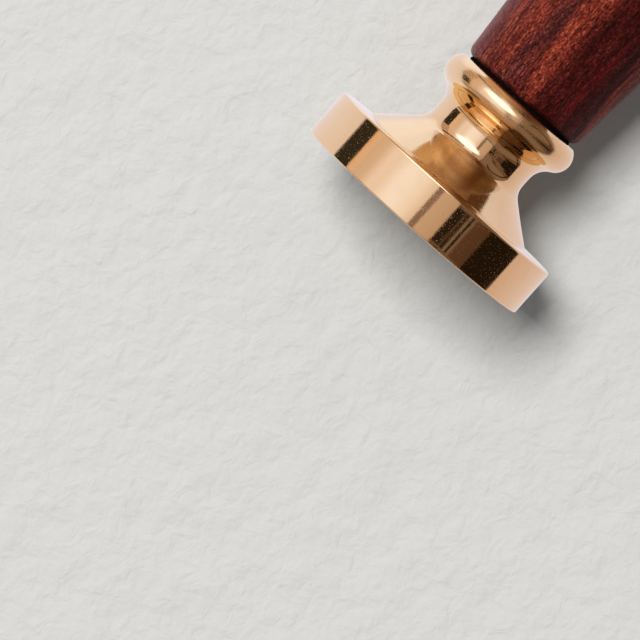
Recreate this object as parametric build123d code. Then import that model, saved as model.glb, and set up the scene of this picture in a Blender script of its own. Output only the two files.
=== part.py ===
from build123d import *
from math import atan2, cos, radians, sin, sqrt, tan
import os

# Wax seal stamp: a turned brass head, screwed onto a turned wooden handle
# by a double ended stud, with a thin washer between the two.
# Millimetres. The stamp stands on its die, +Z runs up the handle, and the
# origin is the centre of the die face.

# Brass head: die disc, its gently sloping ledge, and cone
die_diameter = 25.0
rim_height = 4.72
rim_chamfer = 0.25
face_edge_chamfer = 0.12
ledge_rise = 0.16
cone_foot_diameter = 18.77
cone_height = 3.34
cone_foot_fillet = 0.3

# Brass head: neck, cove and bead
neck_diameter = 10.74
neck_length = 0.95
neck_fillet = 1.72
cove_radius = 1.95
bead_diameter = 14.65
bead_section_radius = 1.67
crown_facing = 0.31

# Engraving on the die face
engraving_depth = 0.45
ring_line_diameter = 21.8
ring_line_width = 0.45
rosette_diameter = 18.4
rosette_line_width = 0.42
petal_count = 6

# Screw thread between the head and the stud
thread_diameter = 7.0
thread_pitch = 1.0
thread_depth_share = 0.6134
thread_crest_share = 0.125
thread_flank_angle = 30.0
thread_clearance = 0.07
flank_clearance = 0.05
thread_reach = 8.5
tapping_run_out = 0.8
hole_countersink = 0.3
stud_end_chamfer = 0.8

# Seating washer
washer_diameter = 11.9
washer_thickness = 0.3
washer_bore_clearance = 0.2

# Upper half of the stud, held in the wood
shank_diameter = 7.2
shank_length = 4.0
wood_thread_diameter = 6.6
wood_thread_pitch = 2.4
wood_thread_depth = 0.95
wood_thread_crest = 0.15
wood_thread_length = 17.0
stud_point_length = 2.6
stud_point_diameter = 0.8
wood_fit_clearance = 0.03

# Wooden handle
handle_length = 75.0
handle_foot_diameter = 13.14
handle_foot_rounding = 0.8
handle_foot_flare_angle = 4.1
handle_belly_diameter = 22.0
handle_belly_height = 56.0
lower_pull_share = 0.38
upper_pull_share = 0.42
dome_side_pull_share = 0.58
dome_top_pull_share = 0.62

# How far a cutting tool runs past the face that it leaves
tool_overrun = 1.0
# How deep a thread's ridge roots below the surface of its core
ridge_root_sink = 0.1


# Heights and radii that follow from the sizes above
die_radius = die_diameter / 2
neck_radius = neck_diameter / 2
cone_foot_radius = cone_foot_diameter / 2
ledge_outer_radius = die_radius - rim_chamfer
ledge_lean = atan2(ledge_rise, ledge_outer_radius - cone_foot_radius)
cone_foot_height = rim_height + ledge_rise
cone_corner_height = cone_foot_height + cone_height
cone_lean = atan2(cone_foot_radius - neck_radius, cone_height)
neck_bottom = cone_corner_height + neck_fillet * tan(cone_lean / 2)
neck_top = neck_bottom + neck_length
bead_centre_radius = bead_diameter / 2 - bead_section_radius
cove_centre_radius = neck_radius + cove_radius
cove_run = cove_centre_radius - bead_centre_radius
cove_reach = cove_radius + bead_section_radius
bead_centre_height = neck_top + sqrt(cove_reach ** 2 - cove_run ** 2)
crown_rise = bead_section_radius - crown_facing
crown_flat_radius = bead_centre_radius + sqrt(bead_section_radius ** 2 - crown_rise ** 2)
head_height = bead_centre_height + crown_rise
handle_foot = head_height + washer_thickness

thread_radius = thread_diameter / 2
stud_core_radius = thread_radius - thread_depth_share * thread_pitch
stud_end = head_height - thread_reach
tapped_hole_floor = stud_end - tapping_run_out
shank_radius = shank_diameter / 2
shank_top = handle_foot + shank_length
wood_thread_radius = wood_thread_diameter / 2
wood_core_radius = wood_thread_radius - wood_thread_depth
wood_thread_top = shank_top + wood_thread_length


def upright(*outline):
    """Face in the plane through the axis, from edges drawn as (radius, height)."""
    return Plane.XZ * make_face(Curve() + list(outline))


def turned(*outline):
    """Solid of revolution about Z from edges drawn as (radius, height)."""
    return revolve(upright(*outline), Axis.Z)


def ridge(core_radius, crest_radius, crest_width, pitch, bottom, top):
    """Helical ridge of a right hand thread, rooted just inside its core.

    The ridge's middle passes through height zero on the +X side, plus any
    whole number of pitches, so two threads of one pitch stay in step.
    """
    first_turn = bottom // pitch * pitch
    start_turn = (bottom - first_turn) / pitch
    path = Helix(pitch, top - bottom, core_radius, center=(0, 0, bottom))
    flank_run = (crest_radius - core_radius + ridge_root_sink) * tan(radians(thread_flank_angle))
    half_crest = crest_width / 2
    half_root = half_crest + flank_run
    root_radius = core_radius - ridge_root_sink
    section = upright(Polyline(
        (root_radius, bottom - half_root),
        (crest_radius, bottom - half_crest),
        (crest_radius, bottom + half_crest),
        (root_radius, bottom + half_root),
        close=True,
    ))
    return Rot(0, 0, 360 * start_turn) * sweep(section, path=path, is_frenet=True)


def cylinder(radius, bottom, top):
    """Upright cylinder on the axis, between two heights."""
    middle = (bottom + top) / 2
    return Pos(0, 0, middle) * Cylinder(radius, top - bottom)


def head_blank():
    """Turned outline of the brass head: disc, ledge, cone, neck, cove and bead.

    The bead's crown is faced off flat, where the washer sits.
    """
    tangent = neck_fillet * tan(cone_lean / 2)
    cone_end = (
        neck_radius + tangent * sin(cone_lean),
        cone_corner_height - tangent * cos(cone_lean),
    )
    foot_turn = radians(90) - cone_lean - ledge_lean
    foot_tangent = cone_foot_fillet * tan(foot_turn / 2)
    foot_start = (
        cone_foot_radius + foot_tangent * cos(ledge_lean),
        cone_foot_height - foot_tangent * sin(ledge_lean),
    )
    foot_end = (
        cone_foot_radius - foot_tangent * sin(cone_lean),
        cone_foot_height + foot_tangent * cos(cone_lean),
    )
    share = bead_section_radius / cove_reach
    cove_end = (
        bead_centre_radius + cove_run * share,
        bead_centre_height - (bead_centre_height - neck_top) * share,
    )
    neck_start = (neck_radius, neck_bottom)
    cove_start = (neck_radius, neck_top)
    crown_edge = (crown_flat_radius, head_height)
    bead_side = (bead_centre_radius + bead_section_radius, bead_centre_height)
    ledge_edge = (ledge_outer_radius, rim_height)
    return turned(
        Polyline(
            (0, head_height),
            (0, 0),
            (die_radius - face_edge_chamfer, 0),
            (die_radius, face_edge_chamfer),
            (die_radius, rim_height - rim_chamfer),
            ledge_edge,
            foot_start,
        ),
        RadiusArc(foot_start, foot_end, cone_foot_fillet),
        Line(foot_end, cone_end),
        RadiusArc(cone_end, neck_start, neck_fillet),
        Line(neck_start, cove_start),
        RadiusArc(cove_start, cove_end, cove_radius),
        ThreePointArc(cove_end, bead_side, crown_edge),
        Line(crown_edge, (0, head_height)),
    )


def engraving():
    """Lines cut into the die face: a ring and a six petal rosette."""
    ring_radius = ring_line_diameter / 2
    half_ring = ring_line_width / 2
    petal_radius = rosette_diameter / 2
    half_petal = rosette_line_width / 2
    lines = Circle(ring_radius + half_ring) - Circle(ring_radius - half_ring)
    arc_line = Circle(petal_radius + half_petal) - Circle(petal_radius - half_petal)
    petals = Sketch()
    for arc_place in PolarLocations(petal_radius, petal_count):
        petals += arc_place * arc_line
    lines += petals & Circle(petal_radius)
    return extrude(lines, amount=engraving_depth)


def tapped_hole():
    """Blind threaded hole in the head, with a countersunk mouth."""
    bore_radius = stud_core_radius + thread_clearance
    groove_radius = thread_radius + thread_clearance
    groove_crest = thread_crest_share * thread_pitch + 2 * flank_clearance
    mouth_radius = groove_radius + hole_countersink
    above = head_height + tool_overrun
    hole = cylinder(bore_radius, tapped_hole_floor, above + thread_pitch)
    hole += ridge(bore_radius, groove_radius, groove_crest, thread_pitch, stud_end - thread_pitch / 4, above)
    countersink = turned(Polyline(
        (0, head_height + tool_overrun),
        (mouth_radius + tool_overrun, head_height + tool_overrun),
        (bore_radius, head_height - mouth_radius + bore_radius),
        (0, head_height - mouth_radius + bore_radius),
        close=True,
    ))
    return hole, countersink


def seal_head():
    """Brass head with its tapped hole and engraved die face."""
    hole, countersink = tapped_hole()
    return head_blank() - engraving() - hole - countersink


def seating_washer():
    """Thin black washer between the head and the handle."""
    bore_radius = shank_radius + washer_bore_clearance
    washer = cylinder(washer_diameter / 2, head_height, handle_foot)
    return washer - cylinder(bore_radius, head_height - tool_overrun, handle_foot + tool_overrun)


def wood_screw(clearance, blunt):
    """Shank, coarse thread and point of the stud, grown all round by a clearance.

    A blunt one has no point, as the hole drilled for it.
    """
    core = wood_core_radius + clearance
    crest = wood_thread_crest + 2 * clearance
    point_top = wood_thread_top + stud_point_length
    thread_bottom = shank_top - wood_thread_pitch / 2
    body = cylinder(shank_radius + clearance, handle_foot, shank_top + clearance)
    body += cylinder(core, shank_top, wood_thread_top + stud_point_length / 2)
    point_radius = core if blunt else stud_point_diameter / 2
    point_start = wood_thread_top + stud_point_length / 2
    body += turned(Polyline(
        (0, point_start),
        (core, point_start),
        (point_radius, point_top + clearance),
        (0, point_top + clearance),
        close=True,
    ))
    thread = ridge(core, wood_thread_radius + clearance, crest, wood_thread_pitch, thread_bottom, wood_thread_top)
    return body + thread


def hanger_bolt():
    """Double ended stud: machine thread below, coarse wood thread above."""
    start = stud_end - thread_pitch
    lower = cylinder(stud_core_radius, start - thread_pitch, handle_foot + shank_length / 2)
    crest = thread_crest_share * thread_pitch
    lower += ridge(stud_core_radius, thread_radius, crest, thread_pitch, start, handle_foot + thread_pitch / 2)
    envelope = turned(Polyline(
        (0, stud_end),
        (thread_radius - stud_end_chamfer, stud_end),
        (shank_radius, stud_end + stud_end_chamfer + shank_radius - thread_radius),
        (shank_radius, handle_foot + shank_length),
        (0, handle_foot + shank_length),
        close=True,
    ))
    return (lower & envelope) + wood_screw(0, False)


def handle_blank():
    """Turned outline of the handle: rounded foot, long swell, and domed end."""
    foot_radius = handle_foot_diameter / 2
    belly_radius = handle_belly_diameter / 2
    flare = radians(handle_foot_flare_angle)
    side_start = handle_foot + handle_foot_rounding
    belly = handle_foot + handle_belly_height
    end = handle_foot + handle_length
    lower_pull = lower_pull_share * (belly - side_start)
    upper_pull = upper_pull_share * (belly - side_start)
    dome_side_pull = dome_side_pull_share * (end - belly)
    dome_top_pull = dome_top_pull_share * belly_radius
    foot_inner = (foot_radius - handle_foot_rounding, handle_foot)
    foot_outer = (foot_radius, side_start)
    widest = (belly_radius, belly)
    return turned(
        Polyline((0, end), (0, handle_foot), foot_inner),
        Bezier(
            foot_inner,
            (foot_radius - handle_foot_rounding / 2, handle_foot),
            (foot_radius - handle_foot_rounding / 2 * tan(flare), side_start - handle_foot_rounding / 2),
            foot_outer,
        ),
        Bezier(
            foot_outer,
            (foot_radius + lower_pull * tan(flare), side_start + lower_pull),
            (belly_radius, belly - upper_pull),
            widest,
        ),
        Bezier(
            widest,
            (belly_radius, belly + dome_side_pull),
            (dome_top_pull, end),
            (0, end),
        ),
    )


def handle():
    """Wooden handle with the hole that the stud's coarse thread fills."""
    mouth = cylinder(shank_radius + wood_fit_clearance, handle_foot - tool_overrun, handle_foot + shank_length / 2)
    return handle_blank() - (wood_screw(wood_fit_clearance, True) + mouth)


def save(name, solid):
    """Write one sub-part to its own STEP file."""
    export_step(solid, os.path.join("parts", name + ".step"))


os.makedirs("parts", exist_ok=True)
save("seal_head", seal_head())
save("seating_washer", seating_washer())
save("hanger_bolt", hanger_bolt())
save("handle", handle())
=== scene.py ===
"""Looks of a wax seal stamp: polished brass head, black washer, stud and lacquered wooden handle.

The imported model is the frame. Every piece here is built in metres in that frame: the stamp
stands on its die at the origin, and +Z runs up the handle.
"""

import logging
import math
from dataclasses import dataclass, field
from enum import Enum
from typing import Callable, Iterable, Sequence

import bmesh
import bpy
from bpy.types import Material, Mesh, Node, NodeSocket, NodeTree, Object
from mathutils import Matrix, Vector, geometry

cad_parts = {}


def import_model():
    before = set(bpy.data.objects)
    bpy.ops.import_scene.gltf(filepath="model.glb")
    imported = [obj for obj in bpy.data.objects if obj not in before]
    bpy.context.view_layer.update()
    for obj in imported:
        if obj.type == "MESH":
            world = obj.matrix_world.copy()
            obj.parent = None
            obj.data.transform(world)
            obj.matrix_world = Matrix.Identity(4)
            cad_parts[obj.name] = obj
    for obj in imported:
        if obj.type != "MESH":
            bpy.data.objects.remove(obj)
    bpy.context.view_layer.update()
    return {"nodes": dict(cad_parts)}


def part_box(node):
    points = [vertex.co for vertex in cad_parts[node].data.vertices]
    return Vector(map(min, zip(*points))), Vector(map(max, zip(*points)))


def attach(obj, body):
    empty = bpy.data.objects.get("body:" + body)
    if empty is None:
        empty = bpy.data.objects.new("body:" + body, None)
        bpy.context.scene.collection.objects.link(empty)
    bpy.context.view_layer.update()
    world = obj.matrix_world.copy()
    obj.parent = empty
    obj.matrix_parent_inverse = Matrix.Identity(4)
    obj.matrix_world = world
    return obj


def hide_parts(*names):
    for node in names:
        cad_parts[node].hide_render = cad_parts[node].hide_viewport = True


LOG = logging.getLogger("wax_seal_stamp")

MM = 0.001
WELD_GAP = 0.002
SAME_POINT = 1e-4
ON_AXIS = 1e-6
SHARP_EDGE = (-0.01, 0.01)
NOISE_RANGE = (0.3, 0.7)

Point = tuple[float, float]
Place = tuple[float, float, float]
Colour = tuple[float, float, float]
# Two edges, and how soft both are
Band = tuple[float, float, float]
Stops = Sequence[tuple[float, Colour]]
Row = Callable[[float], Point]

WHITE: Colour = (1.0, 1.0, 1.0)


class Slot(Enum):
    """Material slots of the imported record."""

    BRASS = "polished_brass"
    FIBRE = "black_fibre"
    STEEL = "plated_steel"
    WOOD = "stained_wood"


class Body(Enum):
    """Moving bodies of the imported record."""

    HEAD = "head"
    WASHER = "washer"
    HANDLE = "handle"


# Outlines


@dataclass(frozen=True)
class Corner:
    """Corner of a turned outline, in millimetres, with the radius that rounds it."""

    radius: float
    height: float
    rounding: float = 0.0


def shares(steps: int) -> list[float]:
    """Numbers from 0 to 1 in equal steps, both included."""
    return [step / steps for step in range(steps + 1)]


def arc(centre: Point, radius: float, start: float, end: float, steps: int) -> list[Point]:
    """Points along a circular arc between two angles in radians, both ends included."""
    angles = [start + (end - start) * share for share in shares(steps)]
    return [(centre[0] + radius * math.cos(angle), centre[1] + radius * math.sin(angle)) for angle in angles]


def rounded(corners: Sequence[Corner], steps: int) -> list[Point]:
    """Outline through corners, each rounded by its own radius.

    Args:
        corners: Corners in order. The first and last are kept sharp.
        steps: Number of stretches of each rounding.

    Returns:
        The points of the outline as (radius, height).
    """
    points = [(corners[0].radius, corners[0].height)]
    for before, corner, after in zip(corners, corners[1:], corners[2:]):
        here = Vector((corner.radius, corner.height))
        back = (Vector((before.radius, before.height)) - here).normalized()
        ahead = (Vector((after.radius, after.height)) - here).normalized()
        half = back.angle(ahead) / 2
        centre = here + (back + ahead).normalized() * (corner.rounding / math.sin(half))
        run = corner.rounding / math.tan(half)
        first = here + back * run - centre
        sweep = first.angle_signed(here + ahead * run - centre)
        for share in shares(steps):
            turned = first.copy()
            turned.rotate(Matrix.Rotation(-sweep * share, 2))
            points.append(tuple(centre + turned))
    points.append((corners[-1].radius, corners[-1].height))
    return points


def hollowed(start: Point, end: Point, depth: float, steps: int = 12) -> list[Point]:
    """Points between the ends of a straight outline that polishing has hollowed a little.

    Args:
        start: Lower end of the stretch.
        end: Upper end of the stretch.
        depth: Depth of the hollow at the middle.
        steps: Number of stretches between the ends.

    Returns:
        The points between the two ends.
    """
    line = Vector(end) - Vector(start)
    inwards = Vector((-line.y, line.x)).normalized()
    return [tuple(Vector(start) + line * share + inwards * (depth * 4 * share * (1 - share)))
            for share in shares(steps)[1:-1]]


def bezier(control: Sequence[Point], steps: int) -> list[Point]:
    """Points along one cubic Bezier curve, both ends included."""
    weights = [((1 - t) ** 3, 3 * t * (1 - t) ** 2, 3 * t * t * (1 - t), t ** 3) for t in shares(steps)]
    return [tuple(sum(w * p[axis] for w, p in zip(row, control)) for axis in (0, 1)) for row in weights]


def divided(here: Point, there: Point, longest: float) -> list[Point]:
    """Points from one point, left out, to another, no further apart than a length."""
    parts = max(1, math.ceil(math.dist(here, there) / longest))
    return [tuple(a + (b - a) * share for a, b in zip(here, there)) for share in shares(parts)[1:]]


def subdivided(outline: Sequence[Point], longest: float) -> list[Point]:
    """Outline whose straight stretches are no longer than a length."""
    runs = [divided(here, there, longest) for here, there in zip(outline, outline[1:])]
    return [outline[0]] + sum(runs, [])


# Meshes


def finished(name: str, shape: bmesh.types.BMesh) -> Mesh:
    """Mesh of a working shape, which is freed."""
    mesh = bpy.data.meshes.new(name)
    shape.to_mesh(mesh)
    shape.free()
    return mesh


def lathe(name: str, rows: Sequence[Row], segments: int) -> Mesh:
    """Skin turned about Z from rows that may change with the angle.

    Args:
        name: Name of the mesh.
        rows: For each row, a function from the angle in radians to (radius, height) in millimetres.
        segments: Number of faces around the axis.

    Returns:
        The mesh in metres, with its faces outward where the rows run up the outside. An end that
        isn't on the axis stays open.
    """
    shape = bmesh.new()
    angles = [2 * math.pi * share for share in shares(segments)[:-1]]
    rings = []
    for row in rows:
        places = [row(angle) for angle in angles]
        if max(radius for radius, _ in places) < ON_AXIS:
            rings.append([shape.verts.new((0, 0, places[0][1] * MM))])
            continue
        rings.append([
            shape.verts.new((radius * MM * math.cos(angle), radius * MM * math.sin(angle), height * MM))
            for angle, (radius, height) in zip(angles, places)
        ])
    for lower, upper in zip(rings, rings[1:]):
        for k in range(segments):
            ends = [ring[place % len(ring)]
                    for ring, place in ((lower, k), (lower, k + 1), (upper, k + 1), (upper, k))]
            shape.faces.new(tuple(dict.fromkeys(ends)))
    return finished(name, shape)


def steady(outline: Iterable[Point]) -> list[Row]:
    """Rows for a lathe from an outline that is the same all round."""
    return [lambda angle, place=place: place for place in outline]


def welded(name: str, skins: Iterable[Mesh]) -> Mesh:
    """Closed mesh of skins whose open edges meet, with its faces outward.

    Args:
        name: Name of the mesh.
        skins: The skins.

    Returns:
        The mesh.
    """
    shape = bmesh.new()
    for skin in skins:
        shape.from_mesh(skin)
    bmesh.ops.remove_doubles(shape, verts=shape.verts, dist=WELD_GAP * MM)
    bmesh.ops.recalc_face_normals(shape, faces=shape.faces)
    return finished(name, shape)


def piece(name: str, mesh: Mesh, sharp_angle: float = 0.0) -> Object:
    """Object that shows a mesh, linked to the scene.

    Args:
        name: Name of the piece.
        mesh: Its mesh.
        sharp_angle: Angle in degrees over which an edge stays sharp.

    Returns:
        The object.
    """
    mesh.shade_smooth()
    mesh.set_sharp_from_angle(angle=math.radians(sharp_angle))
    thing = bpy.data.objects.new(name, mesh)
    bpy.context.scene.collection.objects.link(thing)
    return thing


def panel(name: str, corners: Iterable[Place], material: Material) -> Object:
    """Flat sheet of the studio.

    Args:
        name: Name of the sheet.
        corners: Its corners in millimetres.
        material: Its material.

    Returns:
        The sheet.
    """
    shape = bmesh.new()
    shape.faces.new([shape.verts.new(Vector(corner) * MM) for corner in corners])
    sheet = piece(name, finished(name, shape))
    sheet.data.materials.append(material)
    return sheet


def dress(thing: Object, material: Material) -> None:
    """Give a piece its only material."""
    thing.data.materials.clear()
    thing.data.materials.append(material)


# Node graphs


def spaced(values: dict[str, object]) -> dict[str, object]:
    """Values by socket name, from names with underscores for their spaces."""
    return {label.replace("_", " "): value for label, value in values.items()}


class Easing(Enum):
    """How a number goes from one value to another."""

    SOFT = "SMOOTHSTEP"
    STRAIGHT = "LINEAR"


class Signal:
    """What a node puts out. Numbers take the usual signs of arithmetic."""

    def __init__(self, graph: "Graph", socket: NodeSocket) -> None:
        """Hold a socket of a graph."""
        self.graph, self.socket = graph, socket

    def __add__(self, other: object) -> "Signal":
        """Sum."""
        return self.graph.math("ADD", self, other)

    def __sub__(self, other: object) -> "Signal":
        """Difference."""
        return self.graph.math("SUBTRACT", self, other)

    def __mul__(self, other: object) -> "Signal":
        """Product."""
        return self.graph.math("MULTIPLY", self, other)

    def __truediv__(self, other: object) -> "Signal":
        """Quotient."""
        return self.graph.math("DIVIDE", self, other)

    def __pow__(self, power: float) -> "Signal":
        """Power."""
        return self.graph.math("POWER", self, power)

    def __abs__(self) -> "Signal":
        """Size without the sign."""
        return self.graph.math("ABSOLUTE", self)


class Graph:
    """Short way to write a node tree: most calls add a node and give what it puts out."""

    def __init__(self, tree: NodeTree) -> None:
        """Start from an empty tree."""
        self.tree = tree
        tree.nodes.clear()

    def node(self, kind: str, inputs: dict | None = None, **settings: object) -> Node:
        """Add a node.

        Args:
            kind: Type name of the node, after its first part, ShaderNode.
            inputs: Socket name or number to a value or to what feeds it.
            settings: Properties of the node itself.

        Returns:
            The new node.
        """
        made = self.tree.nodes.new("ShaderNode" + kind)
        for key, value in settings.items():
            setattr(made, key, value)
        for key, value in (inputs or {}).items():
            self.feed(made.inputs[key], value)
        return made

    def feed(self, socket: NodeSocket, value: object) -> None:
        """Set a socket, or link it.

        Args:
            socket: Socket that takes the value.
            value: Plain value, or a signal or a socket to link.
        """
        if isinstance(value, Signal):
            value = value.socket
        if isinstance(value, NodeSocket):
            self.tree.links.new(value, socket)
        elif socket.type == "RGBA" and len(value) == 3:
            socket.default_value = (*value, 1.0)
        else:
            socket.default_value = value

    def outputs(self, node: Node) -> dict[str, Signal]:
        """Signals that a node puts out, by name."""
        return {socket.name: Signal(self, socket) for socket in node.outputs}

    def given(self, kind: str, inputs: dict | None = None) -> dict[str, Signal]:
        """Add a node and give its outputs by name."""
        return self.outputs(self.node(kind, inputs))

    def signal(self, kind: str, output: str | int, inputs: dict, **settings: object) -> Signal:
        """Add a node and give one of its outputs."""
        return Signal(self, self.node(kind, inputs, **settings).outputs[output])

    def math(self, operation: str, *values: object) -> Signal:
        """Sum or other function of numbers."""
        return self.signal("Math", 0, dict(enumerate(values)), operation=operation)

    def mix(self, factor: object, first: object, second: object, blend: str = "MIX") -> Signal:
        """Blend of two colours."""
        inputs = {"Factor": factor, 6: first, 7: second}
        return self.signal("Mix", 2, inputs, data_type="RGBA", blend_type=blend)

    def tinted(self, colour: object, tint: object) -> Signal:
        """Colour multiplied by a tint."""
        return self.mix(1.0, colour, tint, "MULTIPLY")

    def ramp(self, factor: object, stops: Stops) -> Signal:
        """Colour that changes along a factor, straight from stop to stop.

        Args:
            factor: Number from 0 to 1.
            stops: Value of the factor and the colour there, for each stop in order.

        Returns:
            The colour.
        """
        made = self.node("ValToRGB", {"Fac": factor})
        elements = made.color_ramp.elements
        elements[0].position, elements[1].position = stops[0][0], stops[-1][0]
        elements[0].color, elements[1].color = (*stops[0][1], 1.0), (*stops[-1][1], 1.0)
        for place, colour in stops[1:-1]:
            elements.new(place).color = (*colour, 1.0)
        return Signal(self, made.outputs["Color"])

    def span(self, value: object, low: float, high: float, start: float = 0.0, end: float = 1.0,
             easing: Easing = Easing.SOFT) -> Signal:
        """Number that goes from start to end as a value goes from low to high."""
        inputs = {"Value": value, "From Min": low, "From Max": high, "To Min": start, "To Max": end}
        return self.signal("MapRange", "Result", inputs, interpolation_type=easing.value)

    def window(self, value: object, low: float, high: float, soft: float) -> Signal:
        """Number that is one while a value lies between low and high, with soft ends."""
        rise = self.span(value, low - soft / 2, low + soft / 2)
        return rise * self.span(value, high - soft / 2, high + soft / 2, 1.0, 0.0)

    def noise(self, place: object, scale: float, detail: float = 2.0, roughness: float = 0.5,
              distortion: float = 0.0) -> Signal:
        """Fractal noise from 0 to 1."""
        form = {"Scale": scale, "Detail": detail, "Roughness": roughness, "Distortion": distortion}
        return self.signal("TexNoise", "Fac", {"Vector": place, **form})

    def scaled(self, place: object, factor: object) -> Signal:
        """Coordinates scaled by a factor."""
        return self.signal("VectorMath", "Vector", {0: place, "Scale": factor}, operation="SCALE")

    def stretched(self, place: object, across: float, along: float) -> Signal:
        """Coordinates scaled by one factor across the axis and another along it."""
        inputs = {0: place, 1: (across, across, along)}
        return self.signal("VectorMath", "Vector", inputs, operation="MULTIPLY")

    def length(self, place: object) -> Signal:
        """Distance of a place from the origin."""
        return self.signal("VectorMath", "Value", {0: place}, operation="LENGTH")

    def apart(self, place: object) -> Iterable[Signal]:
        """The three numbers of a place."""
        return self.given("SeparateXYZ", {0: place}).values()

    def millimetres(self) -> Signal:
        """Object coordinates in millimetres, the same as the frame's own."""
        return self.scaled(self.given("TexCoord")["Object"], 1 / MM)

    def mirrored_beyond(self, near: float, far: float) -> Signal:
        """Number that goes from zero to one between two lengths of a mirrored ray, in millimetres."""
        path = self.given("LightPath")
        return path["Is Glossy Ray"] * self.span(path["Ray Length"], near * MM, far * MM)

    def effect(self, group: NodeTree, place: Signal, **numbers: float) -> dict[str, Signal]:
        """Put an effect group into the tree with its own values.

        Args:
            group: The effect.
            place: Coordinates in millimetres that the effect reads.
            numbers: Values of the group's inputs, named as in spaced().

        Returns:
            The group's outputs by name.
        """
        return self.outputs(self.node("Group", {"Place": place, **spaced(numbers)}, node_tree=group))

    def relief(self, height: Signal, depth: float) -> NodeSocket:
        """Normal of a surface with a relief of a depth in millimetres."""
        inputs = {"Height": height, "Strength": 1.0, "Distance": depth * MM}
        return self.node("Bump", inputs).outputs["Normal"]

    def surface(self, **inputs: object) -> None:
        """Put a Principled BSDF on the output, from inputs named as in spaced()."""
        self.show(self.node("BsdfPrincipled", spaced(inputs)))

    def part_hidden(self, shader: Node, hidden: Signal) -> None:
        """Put a shader on the output, clear where it is hidden."""
        clear = self.node("BsdfTransparent")
        self.show(self.node("MixShader", {0: hidden, 1: shader.outputs[0], 2: clear.outputs[0]}))

    def show(self, shader: Node, kind: str = "Material") -> None:
        """Put a shader on the output."""
        self.node("Output" + kind, {"Surface": shader.outputs[0]})


def new_material(name: str) -> tuple[Material, Graph]:
    """Empty node material and its graph."""
    material = bpy.data.materials.new(name)
    material.use_nodes = True
    return material, Graph(material.node_tree)


def effect_group(name: str, numbers: dict[str, float],
                 outputs: Sequence[str]) -> tuple[Graph, dict[str, Signal], Node]:
    """Shader node group with a place input, number inputs and number outputs.

    Args:
        name: Name of the group.
        numbers: Name and default of each number that the group takes.
        outputs: Name of each number that it puts out.

    Returns:
        The group's graph, its inputs by name, and the node that takes its outputs.
    """
    group = bpy.data.node_groups.new(name, "ShaderNodeTree")
    group.interface.new_socket("Place", in_out="INPUT", socket_type="NodeSocketVector")
    for label, default in numbers.items():
        group.interface.new_socket(label, in_out="INPUT", socket_type="NodeSocketFloat").default_value = default
    for label in outputs:
        group.interface.new_socket(label, in_out="OUTPUT", socket_type="NodeSocketFloat")
    graph = Graph(group)
    return graph, graph.outputs(group.nodes.new("NodeGroupInput")), group.nodes.new("NodeGroupOutput")


class Effects:
    """Shader node groups that more than one finish uses."""

    def __init__(self) -> None:
        """Build each group once."""
        self.handling = self._handling()
        self.turning = self._turning()

    @staticmethod
    def _handling() -> NodeTree:
        """Faint smears that handling leaves on a hard surface."""
        graph, given, ends = effect_group("handling_marks", {"Smear Density": 0.4}, ["Smear"])
        smears = graph.scaled(given["Place"], given["Smear Density"])
        smear = graph.noise(smears, 1.0, detail=4.0, roughness=0.6)
        graph.feed(ends.inputs["Smear"], graph.span(smear, 0.45, 0.72))
        return graph.tree

    @staticmethod
    def _turning() -> NodeTree:
        """Fine grain of a turned and buffed surface, as heights."""
        graph, given, ends = effect_group(
            "turning_marks", {"Ring Density": 8.0, "Fleck Density": 7.0}, ["Rings", "Flecks"])
        rings = graph.scaled(graph.stretched(given["Place"], 0.02, 1.0), given["Ring Density"])
        graph.feed(ends.inputs["Rings"], graph.noise(rings, 1.0, detail=3.0, roughness=0.7))
        flecks = graph.scaled(given["Place"], given["Fleck Density"])
        graph.feed(ends.inputs["Flecks"], graph.noise(flecks, 1.0, detail=2.0, roughness=0.8))
        return graph.tree


# Finishes


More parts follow.
